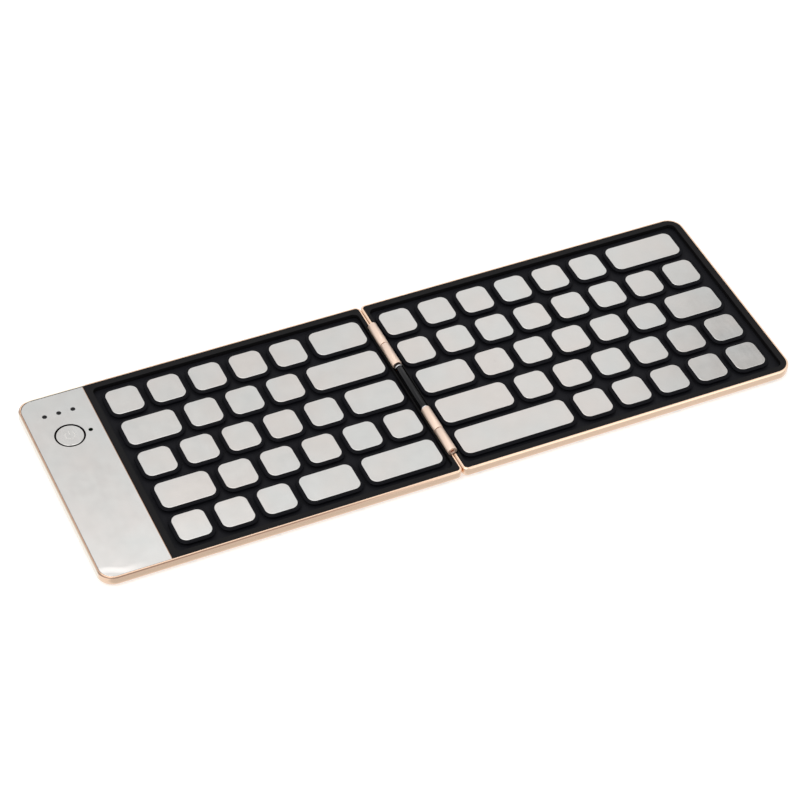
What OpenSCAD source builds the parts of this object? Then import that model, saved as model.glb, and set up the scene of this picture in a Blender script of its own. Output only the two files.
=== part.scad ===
// Folding keyboard: two metal trays of keys that fold face to face about two barrel hinges.
// The origin is under the middle of the fold line, on the surface the feet stand on.
// +X runs along the right half, +Y to the back, +Z up. Millimetres.

/* [Keys] */
// Distance between the middles of neighbouring keys in a row
pitch_x = 17.5; // [16.5:0.1:19.5]
// Distance between the middles of neighbouring rows
pitch_y = 18; // [17:0.1:19.5]
// Width of the metal plate on a key of one unit
plate_w = 13.3; // [12:0.1:14.5]
// Depth of the metal plate on every key
plate_d = 13.6; // [12:0.1:14.5]
// Corner radius of the metal plates
plate_r = 3.1; // [1.6:0.1:4]
// Thickness of the metal plates
plate_t = 0.4; // [0.3:0.05:0.6]
// Bevel round the top edge of the metal plates
plate_bevel = 0.12; // [0.05:0.01:0.2]
// Depth of the seat that a plate lies in
plate_seat = 0.1; // [0.05:0.01:0.2]
// Flat lip of the cap round the plate
cap_lip = 0.35; // [0.1:0.05:0.4]
// Reach of the sloping skirt beyond the lip
skirt_w = 1; // [0.5:0.05:1.3]
// Height of the upright band at the foot of the skirt
skirt_band = 0.3; // [0.2:0.05:0.45]
// Height of the plate tops above the floor of the key well
key_rise = 2.05; // [1.9:0.05:3]
// Distance a key travels when it is pressed
key_travel = 1; // [0.6:0.05:1.05]
// Air left under a pressed key
press_gap = 0.1; // [0.05:0.01:0.15]
// Diameter of the locating bumps on the two home keys
bump_d = 1; // [0.6:0.1:1.6]
// Height of the locating bumps
bump_h = 0.12; // [0.08:0.01:0.2]

/* [Trays] */
// Wall of the metal trays
wall = 0.85; // [0.7:0.05:1.5]
// Floor of the metal trays
floor_t = 0.8; // [0.7:0.05:1.5]
// Plan radius of the corners at the far ends
corner_end = 6.8; // [5:0.1:10]
// Plan radius of the corners at the fold
corner_fold = 2.4; // [2.2:0.1:3.5]
// Round along the bottom edge
bottom_r = 2; // [1.2:0.1:2.1]
// Bevel along the top edge of the rim
rim_bevel = 0.4; // [0.1:0.05:0.5]
// Height of the rim above the key plates
rim_proud = 0.1; // [0:0.05:0.3]
// Gap between the two halves along the fold line
fold_gap = 0.2; // [0.2:0.05:0.6]
// Height of the ribs that carry the key stack
rib_h = 1.2; // [1.1:0.05:2]
// Thickness of the ribs
rib_t = 0.8; // [0.6:0.1:1.2]
// Distance between neighbouring ribs
rib_step = 16.25; // [12:0.25:24]
// Distance from the fold line to the first rib
rib_first = 17; // [16:0.5:20]

/* [Deck frames] */
// Width of the black border round the key well
border = 2.55; // [2.3:0.05:4]
// Width of the border beside the fold
border_fold = 1.4; // [1.1:0.05:2]
// Plan radius of the corners of the key well
well_r = 2.5; // [1.5:0.1:3.5]
// Space between the outer rows and the border, front and back
well_margin_y = 1.7; // [0.5:0.1:5]
// Space between the last key of the right half and the border
well_margin_end = 2.7; // [0.5:0.1:6]
// Space between the last key of the left half and the border
well_margin_pad = 1.4; // [0.5:0.1:6]
// Space between the first keys and the border beside the fold
well_margin_fold = 0.05; // [0:0.05:1]
// Side clearance of the parts that drop into the trays
fit = 0.1; // [0.05:0.01:0.2]
// Diameter of the posts under the deck frames
post_d = 2; // [1.9:0.1:2.1]
// Distance from the ends of a frame to its first and last posts
post_end = 8; // [7.5:0.5:12]

/* [Key stack] */
// Thickness of the rubber dome mat
mat_t = 0.15; // [0.1:0.05:0.3]
// Thickness of the printed switch sheet
sheet_t = 0.25; // [0.2:0.05:0.4]
// Thickness of the steel backing plate
backing_t = 0.35; // [0.3:0.05:0.6]
// Diameter of a dome at its foot
dome_d = 5.2; // [4:0.1:6.5]
// Diameter of a dome at its top
dome_top_d = 3; // [2:0.1:3.8]
// Air between a dome and its key
dome_gap = 0.05; // [0.02:0.01:0.1]
// Clearance of the stacked layers inside a tray
stack_gap = 0.3; // [0.2:0.05:0.5]
// Clearance of the stacked layers round the posts
stack_fit = 0.2; // [0.1:0.05:0.3]

/* [Hinges] */
// Diameter of the hinge barrels
barrel_d = 3.9; // [3.6:0.1:4.4]
// Length of each barrel
barrel_l = 25; // [22:0.5:30]
// Distance from the middle of the hinge line to the middle of each barrel
barrel_y = 25.9; // [22:0.1:30]
// Distance that the hinge line's middle lies in front of the keyboard's
hinge_forward = 1.3; // [0:0.1:3]
// Seam between the two knuckles of a barrel
barrel_seam = 0.35; // [0.1:0.05:0.5]
// Height of the hinge axis above the key plates
axis_rise = 0.5; // [0.45:0.05:1]
// Diameter of the hinge pins
pin_d = 1.8; // [1.4:0.1:2]
// Radial running clearance of the pins and the cable tube
run_fit = 0.05; // [0.02:0.01:0.1]
// Clearance of the trays round the barrels
barrel_gap = 0.3; // [0.2:0.05:0.5]
// Gap between the ends of the barrels and the rims
end_gap = 1; // [0.3:0.1:2]
// Clearance of the trays round the webs of the leaves
notch_gap = 0.15; // [0.1:0.05:0.3]
// Depth that the pins are sunk into the barrel ends
pin_sunk = 0.8; // [0.3:0.1:1.5]
// Distance from a pin to the inner end of its barrel
pin_inset = 5; // [4.5:0.1:6]
// Distance from the fold line to the web of a leaf
web_x = 0.45; // [0.35:0.05:0.6]
// Thickness of the web
web_t = 0.8; // [0.6:0.05:0.9]
// Reach of a leaf along the floor of its tray
leaf_w = 9; // [8:0.5:13]
// Thickness of a leaf
leaf_t = 0.8; // [0.6:0.05:1]
// Distance from the end of a leaf to its screws
leaf_screw_inset = 3; // [2:0.25:4]

/* [Cable tube] */
// Diameter of the tube between the barrels
tube_d = 2.7; // [2.5:0.1:3]
// Bore of the tube
tube_bore = 1.9; // [1.7:0.1:2]
// Depth of the tube in the barrel ends
tube_seat = 1; // [0.6:0.1:1.5]
// Diameter of the metal rings on the tube
ring_d = 3.3; // [3:0.1:3.6]
// Length of the metal rings
ring_l = 0.5; // [0.3:0.1:1]
// Distance from the rear ring to its barrel
rear_ring_gap = 1.2; // [0.1:0.1:2]
// Distance from the front ring to its barrel
front_ring_gap = 0.1; // [0.1:0.1:2]
// Diameter of the cable that passes through the tube
cable_d = 1.5; // [1:0.1:1.6]
// Reach of the cable into each barrel
cable_reach = 3.5; // [2:0.5:4]

/* [Pad and controls] */
// Thickness of the metal pad cover
pad_t = 0.75; // [0.6:0.05:0.9]
// Seam between the pad cover and the deck frame
pad_seam = 0.1; // [0.05:0.05:0.3]
// Clearance of the pad cover in the rim
pad_fit = 0.15; // [0.1:0.05:0.3]
// Plan radius of the pad cover's inner corners
pad_inner_r = 0.5; // [0.4:0.1:1]
// Bevel along the top edge of the pad cover
pad_bevel = 0.15; // [0.05:0.05:0.3]
// Width of the ledge that carries the pad cover
ledge = 0.8; // [0.5:0.1:1.5]
// Thickness of the wall between the pad bay and the keys
bay_wall = 1.1; // [0.8:0.1:1.6]
// Diameter of the power button
button_d = 10.9; // [8:0.1:12]
// Gap round the power button
button_gap = 0.75; // [0.3:0.05:0.8]
// Thickness of the metal cap on the power button
button_cap_t = 0.35; // [0.3:0.05:0.5]
// Bevel round the top edge of the power button
button_bevel = 0.12; // [0.05:0.01:0.2]
// Reach of the flange that holds the power button under the pad cover
flange_w = 1.2; // [0.8:0.1:1.5]
// Thickness of the flanges on the power button and the lenses
flange_t = 0.4; // [0.3:0.05:0.6]
// Gap between the button's flange and the pad cover
flange_gap = 0.2; // [0.1:0.05:0.3]
// Reach of the flanges on the lenses
lens_flange = 0.5; // [0.3:0.05:0.8]
// Distance of the power button behind the middle
button_y = 25.7; // [22:0.1:27]
// Distance that the power button travels
button_travel = 0.4; // [0.2:0.05:0.5]
// Diameter of the indicator lenses
lens_d = 1.9; // [1:0.1:2.5]
// Distance between neighbouring indicator lenses
lens_step = 5.85; // [4:0.05:7]
// Distance from the power button to the indicator lenses
lens_y = 13.2; // [12:0.1:15]
// Diameter of the reset hole
reset_d = 1.8; // [0.5:0.1:2]
// Distance from the power button to the reset hole
reset_x = 8.5; // [8:0.1:9]

/* [Electronics] */
// Gap between the controller board and the sides of its bay
board_gap = 0.6; // [0.3:0.05:1.5]
// Depth of the controller board
board_d = 39; // [36:0.5:40]
// Plan radius of the board's inner corners
board_r = 1; // [0.5:0.1:2]
// Thickness of the controller board
board_t = 0.6; // [0.5:0.05:0.8]
// Height of the pads under the controller board
board_rise = 0.3; // [0.2:0.05:0.5]
// Diameter of the board's locating pegs
peg_d = 1.6; // [1.2:0.1:2]
// Width of the shoulder on a peg, under the board
peg_shoulder = 0.7; // [0.4:0.1:1]
// Distance from the edges of the board to the middles of the pegs
peg_inset = 2.8; // [2.4:0.1:4]
// Height of the switch under the power button
switch_h = 1.3; // [1:0.05:1.4]
// Width of the switch
switch_w = 4.5; // [4:0.1:6]
// Width of the charging socket
socket_w = 7.5; // [7:0.1:8]
// Height of the charging socket
socket_h = 2.3; // [2:0.05:2.35]
// Depth of the charging socket
socket_l = 5.4; // [5:0.1:6.5]
// Sheet thickness of the socket's shell
socket_t = 0.3; // [0.2:0.05:0.35]
// Distance from the socket's mouth to its tongue
tongue_sunk = 0.4; // [0.2:0.05:1]
// Depth that the socket's mouth is sunk in the rear wall
socket_sunk = 0.3; // [0.1:0.05:0.5]
// Distance from the power button's middle to the socket's
socket_x = 3; // [0:0.5:6]
// Clearance of the rear wall round the socket
socket_fit = 0.2; // [0.1:0.05:0.3]
// Least air between the battery and the bay's rounded corner
battery_gap = 0.3; // [0.1:0.05:1]
// Depth of the battery
battery_d = 50; // [30:1:54]
// Thickness of the battery
battery_t = 3; // [2:0.1:3.2]
// Corner radius of the battery
battery_r = 1; // [0.5:0.1:2]

/* [Feet and screws] */
// Length of a rubber foot
foot_l = 14; // [10:0.5:16]
// Width of a rubber foot
foot_w = 6; // [4:0.5:7]
// Height of the trays above the surface they stand on
foot_h = 0.8; // [0.5:0.1:1.5]
// Depth that the feet are let into the trays
foot_sunk = 0.3; // [0.2:0.05:0.4]
// Distance from the ends of a half to its feet's middles
foot_x = 15; // [14:0.5:20]
// Distance from the front and back to the feet's middles
foot_y = 10; // [9:0.5:14]
// Shank diameter of the screws
screw_d = 1.1; // [0.9:0.1:1.2]
// Head diameter of the screws
screw_head = 2.2; // [1.9:0.1:2.4]
// Size across the corners of the screws' hexagon sockets
screw_key = 0.8; // [0.6:0.05:1]
// Length of the frame screws
screw_l = 3; // [2.6:0.1:3.4]
// Clearance round the shanks and heads of the screws
screw_fit = 0.05; // [0.03:0.01:0.1]
// Depth of the blind holes beyond the screws
screw_tip = 0.3; // [0.1:0.05:0.5]

/* [Hidden] */
$fn = 64;
EPS = 0.01;

// Key widths in units, row by row from the back, each row read from left to right
LEFT_ROWS = [
  [1, 1, 1, 1, 1, 1.5],
  [1.5, 1, 1, 1, 2],
  [1, 1, 1, 1, 1, 1.5],
  [1.5, 1, 1, 1, 1, 1],
  [1, 1, 1, 1.5, 2]
];
RIGHT_ROWS = [
  [1, 1, 1, 1, 1, 1, 2],
  [1, 1, 1, 1, 1, 1, 1, 1],
  [1.5, 1, 1, 1, 1, 1, 1.5],
  [2, 1, 1, 1, 1, 1, 1],
  [3, 1, 1, 1, 1, 1]
];
// Row and place of the keys that move on their own
LEFT_SPACE = [4, 4];
BACKSPACE = [0, 6];
ENTER = [2, 6];
RIGHT_SPACE = [4, 0];
// Row and place of the two home keys with a locating bump
LEFT_HOME_KEY = [2, 4];
RIGHT_HOME_KEY = [2, 1];

// Heights of the layers, from the surface upwards
z_floor = foot_h + floor_t;
z_backing = z_floor + rib_h;
z_sheet = z_backing + backing_t;
z_mat = z_sheet + sheet_t;
z_well = z_mat + mat_t;
z_key = z_well + key_rise;
z_cap = z_well + key_travel + press_gap;
z_rim = z_key + rim_proud;
z_axis = z_key + axis_rise;
z_pad = z_key - pad_t;
z_board = z_floor + board_rise;
z_board_top = z_board + board_t;

// Places along a half, measured from the fold line
tray_x = fold_gap / 2;
frame_x = tray_x + wall + fit;
well_x = frame_x + border_fold;
key_x = well_x + well_margin_fold;
left_keys_end = key_x + total(LEFT_ROWS[0]) * pitch_x;
right_keys_end = key_x + total(RIGHT_ROWS[0]) * pitch_x;
left_frame_end = left_keys_end + well_margin_pad + border;
right_frame_end = right_keys_end + well_margin_end + border;
half_l = right_frame_end + fit + wall;
pad_x = left_frame_end + pad_seam;
pad_end = half_l - wall - pad_fit;
pad_mid = (pad_x + pad_end) / 2;
bay_x = left_frame_end + 2 * pad_seam + bay_wall;
bay_end = half_l - wall - ledge;
bay_r = corner_end - wall - ledge;
board_w = bay_end - bay_x - 2 * board_gap;
battery_inset = bay_r * (1 - cos(45)) + battery_gap;
stack_x = web_x + web_t + stack_gap;

// Places across the keyboard
depth = len(LEFT_ROWS) * pitch_y + 2 * (well_margin_y + border + fit + wall);
well_y = depth / 2 - wall - fit - border;
bay_y = depth / 2 - wall - ledge;
post_y = well_y + border / 2;
rib_y = well_y - post_d / 2;
board_y = bay_y - board_d / 2 - fit;

// Sizes that follow from the others
cap_reach = run_fit + cap_lip + skirt_w;
cap_h = z_key - plate_t + plate_seat - z_cap;
knuckle_l = (barrel_l - barrel_seam) / 2;
knuckle_y = (knuckle_l + barrel_seam) / 2;
barrel_inner = barrel_y - barrel_l / 2;
hinge_end = barrel_y + barrel_l / 2 + end_gap;
screw_head_h = (screw_head - screw_d) / 2;
button_r = button_d / 2;

function total(list, n = -1) =
  let (m = n < 0 ? len(list) : n)
  m == 0 ? 0 : list[m - 1] + total(list, m - 1);
function row_y(row) = ((len(LEFT_ROWS) - 1) / 2 - row) * pitch_y;
function key_mid(widths, i) = (total(widths, i) + widths[i] / 2) * pitch_x;
function is_one_of(key, keys) = len([for (k = keys) if (k == key) k]) > 0;
function post_places(frame_end) = [
  for (k = [0 : 3], side = [-1, 1]) [post_end + k * (frame_end - 2 * post_end) / 3, side * post_y]
];
function foot_places() = [
  for (x = [foot_x, half_l - foot_x], side = [-1, 1]) [x, side * (depth / 2 - foot_y)]
];
function leaf_screw_places(y) = [
  for (side = [-1, 1]) [web_x + leaf_w - leaf_screw_inset, y + side * knuckle_l / 3]
];
// The left half carries the rear knuckle of each barrel, the right half the front one
function left_knuckles() = [for (side = [-1, 1]) side * barrel_y - hinge_forward + knuckle_y];
function right_knuckles() = [for (side = [-1, 1]) side * barrel_y - hinge_forward - knuckle_y];

// A slab from x = 0 to l, centred on y, with plan radii r0 at x = 0 and r1 at x = l. The child is the
// section of its edge, drawn at negative x, edge wide and h high, and is carried round all the sides.
module edged_slab(l, d, h, r0, r1, edge) {
  for (end = [0, 1], r = end == 0 ? [r0] : [r1]) {
    translate([end * l, d / 2 - r, 0])
      mirror([1 - end, 0, 0])
        rotate([90, 0, 0])
          linear_extrude(d - 2 * r) {
            children();
            translate([-l / 2, 0]) square([l / 2 - edge, h]);
          }
    for (side = [-1, 1])
      translate([end == 0 ? r : l - r, side * (d / 2 - r), 0])
        mirror([1 - end, 0, 0])
          mirror([0, side < 0 ? 1 : 0, 0])
            rotate_extrude(angle = 90) {
              translate([r, 0]) children();
              square([r - edge, h]);
            }
  }
  translate([r0, 0, 0])
    rotate([90, 0, 90])
      linear_extrude(l - r0 - r1) {
        for (side = [0, 1])
          mirror([side, 0]) translate([d / 2, 0]) children();
        translate([edge - d / 2, 0]) square([d - 2 * edge, h]);
      }
}

// Section of an edge with an upright foot, a slope or bevel above it, and a flat top
module bevelled_edge(edge, h, band, slope) {
  polygon([[-edge, 0], [0, 0], [0, band], [-slope, h], [-edge, h]]);
}

// Section of the tray's edge: round below, bevelled at the top
module tray_edge() {
  h = z_rim - foot_h;
  translate([-bottom_r, bottom_r])
    intersection() {
      circle(bottom_r);
      translate([0, -bottom_r]) square(bottom_r);
    }
  polygon([
    [-bottom_r, bottom_r], [0, bottom_r], [0, h - rim_bevel], [-rim_bevel, h], [-bottom_r, h]
  ]);
}

// Plan of a rounded rectangle from x0 to x1, with one radius at each end
module plan(x0, x1, d, r0, r1) {
  for (side = [-1, 1]) {
    translate([x0 + r0, side * (d / 2 - r0)]) circle(r0);
    translate([x1 - r1, side * (d / 2 - r1)]) circle(r1);
  }
  translate([x0 + r0, -d / 2]) square([x1 - r1 - x0 - r0, d]);
  translate([x0, r0 - d / 2]) square([r0, d - 2 * r0]);
  translate([x1 - r1, r1 - d / 2]) square([r1, d - 2 * r1]);
}

// Plan of a half, drawn in by inset all round
module half_plan(inset) {
  plan(tray_x + inset, half_l - inset, depth - 2 * inset, corner_fold - inset, corner_end - inset);
}

// Plan of what lies between the fold and the pad in the left half
module left_key_plan(inset) {
  intersection() {
    half_plan(wall + inset);
    translate([0, -depth / 2]) square([left_frame_end + fit - inset, depth]);
  }
}

module left_side() {
  mirror([1, 0, 0]) children();
}

// Room for the barrels, the tube and the webs of a half's own leaves
module hinge_room(knuckles) {
  translate([0, -hinge_forward, z_axis])
    rotate([90, 0, 0])
      cylinder(r = barrel_d / 2 + barrel_gap, h = 2 * hinge_end, center = true);
  for (y = knuckles)
    translate([-EPS, y - knuckle_l / 2 - notch_gap, z_floor])
      cube([web_x + web_t + notch_gap, knuckle_l + 2 * notch_gap, z_axis]);
}

// Countersunk hole for a screw that comes up through the floor of a tray
module floor_screw_hole() {
  translate([0, 0, foot_h - EPS]) cylinder(d = screw_d + 2 * screw_fit, h = floor_t + 2 * EPS);
  translate([0, 0, foot_h - EPS])
    cylinder(d1 = screw_head + 2 * screw_fit, d2 = screw_d + 2 * screw_fit, h = screw_head_h + EPS);
}

module screw(l) {
  translate([0, 0, foot_h]) {
    cylinder(d = screw_d, h = l);
    difference() {
      cylinder(d1 = screw_head, d2 = screw_d, h = screw_head_h);
      translate([0, 0, -EPS]) cylinder(d = screw_key, h = screw_head_h / 2, $fn = 6);
    }
  }
}

module foot_plan(clearance) {
  for (end = [-1, 1])
    translate([end * (foot_l - foot_w) / 2, 0]) circle(d = foot_w + 2 * clearance);
  square([foot_l - foot_w, foot_w + 2 * clearance], center = true);
}

// Bare tray of a half, without what is cut or added for one side only. Its wall is low beside the hinges,
// where the deck frame lies over it.
module tray(knuckles, frame_end) {
  difference() {
    translate([tray_x, 0, foot_h])
      edged_slab(half_l - tray_x, depth, z_rim - foot_h, corner_fold, corner_end, bottom_r) tray_edge();
    children();
    hinge_room(knuckles);
    translate([-EPS, -hinge_forward - hinge_end, z_well]) cube([frame_x, 2 * hinge_end, z_rim]);
    for (p = post_places(frame_end)) translate(p) floor_screw_hole();
    for (y = knuckles, p = leaf_screw_places(y)) translate(p) floor_screw_hole();
    for (p = foot_places())
      translate([p[0], p[1], foot_h - EPS]) linear_extrude(foot_sunk + EPS) foot_plan(fit);
  }
  for (x = [rib_first : rib_step : frame_end - border])
    translate([x, -rib_y, z_floor]) cube([rib_t, 2 * rib_y, rib_h]);
}

module right_case() {
  color("#dfc1a4")
    tray(right_knuckles(), right_frame_end)
      translate([0, 0, z_floor]) linear_extrude(z_rim) half_plan(wall);
}

// The left tray has a bay for the electronics, with a ledge and a wall that carry the pad cover
module left_case() {
  color("#dfc1a4")
    left_side() {
      tray(left_knuckles(), left_frame_end) {
        translate([0, 0, z_floor]) linear_extrude(z_rim) left_key_plan(0);
        translate([0, 0, z_pad])
          linear_extrude(z_rim)
            intersection() {
              half_plan(wall);
              translate([left_frame_end, -depth / 2]) square([half_l, depth]);
            }
        translate([0, 0, z_floor])
          linear_extrude(z_rim)
            plan(bay_x, bay_end, 2 * bay_y, pad_inner_r, bay_r);
        socket_opening();
      }
      for (p = peg_places()) translate([p[0], p[1], z_floor]) {
        cylinder(d = peg_d + 2 * peg_shoulder, h = board_rise);
        cylinder(d = peg_d, h = board_rise + board_t + board_rise);
      }
    }
}

function peg_places() = [
  for (x = [-1, 1], y = [-1, 1])
    [(bay_x + bay_end) / 2 + x * (board_w / 2 - peg_inset), board_y + y * (board_d / 2 - peg_inset)]
];

module socket_opening() {
  translate([pad_mid + socket_x, depth / 2, z_board_top + socket_h / 2])
    cube([socket_w + 2 * socket_fit, 4 * (wall + ledge), socket_h + 2 * socket_fit], center = true);
}

// Black border that drops into a tray round its keys. It has a post over each frame screw, and a tongue
// that lies on the low wall under the barrels.
module deck_frame(frame_end, knuckles) {
  difference() {
    union() {
      translate([0, 0, z_well])
        linear_extrude(key_rise)
          difference() {
            union() {
              children();
              translate([tray_x, fit - hinge_forward - hinge_end])
                square([border_fold, 2 * (hinge_end - fit)]);
            }
            plan(well_x, frame_end - border, 2 * well_y, well_r, well_r);
          }
      for (p = post_places(frame_end))
        translate([p[0], p[1], z_floor]) cylinder(d = post_d, h = z_well - z_floor + key_rise / 2);
    }
    for (p = post_places(frame_end))
      translate([p[0], p[1], z_floor - EPS])
        cylinder(d = screw_d + 2 * screw_fit, h = foot_h + screw_l - z_floor + screw_tip);
    hinge_room(knuckles);
  }
}

module right_deck_frame() {
  color("#202125")
    deck_frame(right_frame_end, right_knuckles()) half_plan(wall + fit);
}

module left_deck_frame() {
  color("#202125")
    left_side() deck_frame(left_frame_end, left_knuckles()) left_key_plan(fit);
}

// One flat layer of the key stack, cut away round the posts
module stack_layer(z, t, frame_end) {
  translate([0, 0, z])
    linear_extrude(t)
      difference() {
        intersection() {
          children();
          translate([stack_x, -depth / 2]) square([half_l, depth]);
        }
        for (p = post_places(frame_end)) translate(p) circle(d = post_d + 2 * stack_fit);
      }
}

// Domes under every key of one half
module domes(rows) {
  for (row = [0 : len(rows) - 1], i = [0 : len(rows[row]) - 1])
    translate([key_mid(rows[row], i), row_y(row), z_well - EPS])
      cylinder(d1 = dome_d, d2 = dome_top_d, h = z_cap - z_well - dome_gap + EPS);
}

module right_dome_mat() {
  color("#2b2c30") {
    stack_layer(z_mat, mat_t, right_frame_end) half_plan(wall + stack_gap);
    translate([key_x, 0, 0]) domes(RIGHT_ROWS);
  }
}

module left_dome_mat() {
  color("#2b2c30") {
    left_side() stack_layer(z_mat, mat_t, left_frame_end) left_key_plan(stack_gap);
    translate([-left_keys_end, 0, 0]) domes(LEFT_ROWS);
  }
}

module right_switch_sheet() {
  color("#2e5a3c") stack_layer(z_sheet, sheet_t, right_frame_end) half_plan(wall + stack_gap);
}

module left_switch_sheet() {
  color("#2e5a3c") left_side() stack_layer(z_sheet, sheet_t, left_frame_end) left_key_plan(stack_gap);
}

module right_backing_plate() {
  color("#9a9ca0") stack_layer(z_backing, backing_t, right_frame_end) half_plan(wall + stack_gap);
}

module left_backing_plate() {
  color("#9a9ca0") left_side() stack_layer(z_backing, backing_t, left_frame_end) left_key_plan(stack_gap);
}

// Polished cover over the pad bay, with openings for the button, the lenses and the pinhole
module pad_cover() {
  color("#d6d4d0")
    left_side()
      difference() {
        translate([pad_x, 0, z_pad])
          edged_slab(pad_end - pad_x, depth - 2 * (wall + pad_fit), pad_t, pad_inner_r,
                     corner_end - wall - pad_fit, pad_bevel)
            bevelled_edge(pad_bevel, pad_t, pad_t - pad_bevel, pad_bevel - EPS);
        translate([pad_mid, button_y, 0]) {
          cylinder(r = button_r + button_gap, h = z_rim);
          for (k = [-1 : 1]) translate([k * lens_step, lens_y, 0]) cylinder(d = lens_d + fit, h = z_rim);
          translate([-reset_x, 0, 0]) cylinder(d = reset_d, h = z_rim);
        }
      }
}

// Black body of the round button, with a flange under the pad cover and a nub over its switch
module power_button() {
  flange_z = z_pad - flange_gap - flange_t;
  nub_z = z_board_top + switch_h + dome_gap;
  color("#1c1c20")
    left_side()
      translate([pad_mid, button_y, 0]) {
        translate([0, 0, flange_z]) cylinder(r = button_r, h = z_key - button_cap_t - flange_z);
        translate([0, 0, flange_z]) cylinder(r = button_r + flange_w, h = flange_t);
        translate([0, 0, nub_z]) cylinder(d = switch_w / 2, h = flange_z - nub_z + EPS);
      }
}

// Metal cap on the button
module power_button_cap() {
  color("#d0cecb")
    left_side()
      translate([pad_mid, button_y, z_key - button_cap_t])
        rotate_extrude()
          polygon([
            [0, 0], [button_r, 0], [button_r, button_cap_t - button_bevel],
            [button_r - button_bevel, button_cap_t], [0, button_cap_t]
          ]);
}

// Dark lenses over the indicator lamps
module status_lenses() {
  color("#1b1b1e")
    left_side()
      for (k = [-1 : 1])
        translate([pad_mid + k * lens_step, button_y + lens_y, 0]) {
          translate([0, 0, z_pad - flange_t]) cylinder(d = lens_d, h = pad_t + flange_t);
          translate([0, 0, z_pad - flange_t]) cylinder(d = lens_d + 2 * lens_flange, h = flange_t);
        }
}

// Controller board on its pegs, with the lamps under the lenses
module controller_board() {
  color("#1f5e3a")
    left_side() {
      difference() {
        translate([0, board_y, z_board])
          linear_extrude(board_t)
            plan(bay_x + board_gap, bay_end - board_gap, board_d, board_r, bay_r - fit);
        for (p = peg_places())
          translate([p[0], p[1], z_board - EPS]) cylinder(d = peg_d + 2 * run_fit, h = board_t + 2 * EPS);
      }
      for (k = [-1 : 1])
        translate([pad_mid + k * lens_step, button_y + lens_y, z_board_top + board_rise / 2])
          cube([lens_d, lens_d / 2, board_rise], center = true);
    }
}

module power_switch() {
  color("#3a3a3e")
    left_side()
      translate([pad_mid, button_y, z_board_top]) {
        translate([-switch_w / 2, -switch_w / 2, 0]) cube([switch_w, switch_w, switch_h / 2]);
        cylinder(d = switch_w / 2, h = switch_h);
      }
}

// Outline of the charging socket's mouth: a rectangle whose lower corners slant in
module socket_outline(inset) {
  w = socket_w / 2 - inset;
  cut = socket_h / 3;
  polygon([
    [-w, socket_h - inset], [w, socket_h - inset], [w, cut + inset / 2],
    [w - cut + inset / 2, inset], [cut - inset / 2 - w, inset], [-w, cut + inset / 2]
  ]);
}

module charging_socket() {
  mouth_y = depth / 2 - socket_sunk;
  color("#b9bbbe")
    left_side()
      translate([pad_mid + socket_x, mouth_y, z_board_top])
        rotate([90, 0, 0]) {
          difference() {
            linear_extrude(socket_l) socket_outline(0);
            translate([0, 0, -EPS]) linear_extrude(socket_l - socket_t) socket_outline(socket_t);
          }
          translate([-socket_w / 4, socket_h / 2, tongue_sunk])
            cube([socket_w / 2, socket_h / 5, socket_l - tongue_sunk]);
        }
}

module battery() {
  color("#a9abb0")
    left_side()
      translate([0, battery_inset + battery_d / 2 - bay_y, z_floor])
        linear_extrude(battery_t)
          plan(bay_x + battery_inset, bay_end - battery_inset, battery_d, battery_r, battery_r);
}

module feet() {
  for (p = foot_places())
    translate([p[0], p[1], 0]) linear_extrude(foot_h + foot_sunk) foot_plan(0);
}

module left_feet() {
  color("#2a2a2c") left_side() feet();
}

module right_feet() {
  color("#2a2a2c") feet();
}

module half_screws(knuckles, frame_end) {
  for (p = post_places(frame_end)) translate(p) screw(screw_l);
  for (y = knuckles, p = leaf_screw_places(y)) translate(p) screw(floor_t + leaf_t);
}

module left_screws() {
  color("#8d8478") left_side() half_screws(left_knuckles(), left_frame_end);
}

module right_screws() {
  color("#8d8478") half_screws(right_knuckles(), right_frame_end);
}

// A knuckle on a web that stands in the tray's wall, with a leaf that lies on its floor. The bore holds the
// pin, and a knuckle beside the tube (tube_end = 1 or -1) is opened out to seat it.
module hinge_leaf(y, tube_end = 0) {
  color("#e6cbb2")
    translate([0, y, 0])
      difference() {
        union() {
          translate([0, 0, z_axis]) rotate([90, 0, 0]) cylinder(d = barrel_d, h = knuckle_l, center = true);
          translate([web_x, -knuckle_l / 2, z_floor]) {
            cube([web_t, knuckle_l, z_axis - z_floor]);
            cube([leaf_w, knuckle_l, leaf_t]);
          }
        }
        translate([0, 0, z_axis]) rotate([90, 0, 0]) {
          cylinder(d = pin_d + 2 * run_fit, h = knuckle_l + 2 * EPS, center = true);
          if (tube_end != 0)
            translate([0, 0, -tube_end * knuckle_l / 2])
              cylinder(d = tube_d + 2 * run_fit, h = 2 * (tube_seat + run_fit), center = true);
        }
        for (p = leaf_screw_places(0))
          translate([p[0], p[1], z_floor - EPS])
            cylinder(d = screw_d + 2 * screw_fit, h = leaf_t + 2 * EPS);
      }
}

module rear_hinge_left_leaf() {
  left_side() hinge_leaf(left_knuckles()[1]);
}

module rear_hinge_right_leaf() {
  hinge_leaf(right_knuckles()[1], -1);
}

module front_hinge_left_leaf() {
  left_side() hinge_leaf(left_knuckles()[0], 1);
}

module front_hinge_right_leaf() {
  hinge_leaf(right_knuckles()[0]);
}

// A pin through both knuckles of the barrel on one side of the middle
module hinge_pin(side) {
  pin_l = barrel_l - pin_sunk - pin_inset;
  color("#b98d68")
    translate([0, side * (barrel_inner + pin_inset + pin_l / 2) - hinge_forward, z_axis])
      rotate([90, 0, 0]) cylinder(d = pin_d, h = pin_l, center = true);
}

module rear_hinge_pin() {
  hinge_pin(1);
}

module front_hinge_pin() {
  hinge_pin(-1);
}

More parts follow.
